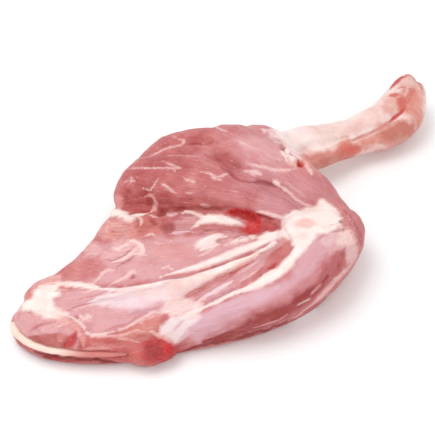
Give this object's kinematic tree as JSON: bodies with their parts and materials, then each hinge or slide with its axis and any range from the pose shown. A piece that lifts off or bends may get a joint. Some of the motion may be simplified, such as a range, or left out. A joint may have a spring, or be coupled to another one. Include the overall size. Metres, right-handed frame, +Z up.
{
  "type": "raw goat shoulder",
  "caption": "Raw bone-in goat shoulder lying inner face up: flat fan of muscle on the blade, rounded arm muscles, and the shank folded away behind.",
  "frame": {"origin": "bottom centre of the object's box, on the surface it lies on", "axes": "+X from the cut blade end towards the shank's tip, +Y away from the front muscle's edge, +Z up out of the leg's inner face"},
  "size_m": [0.28, 0.2688, 0.0544],
  "materials": {
    "raw_meat": "moist raw muscle under thin white membranes, with fat and tendon",
    "gristle": "moist cream gristle"
  },
  "bodies": {
    "root": {"shoulder_meat": "raw_meat", "shoulder_blade": "gristle"}
  },
  "joints": []
}
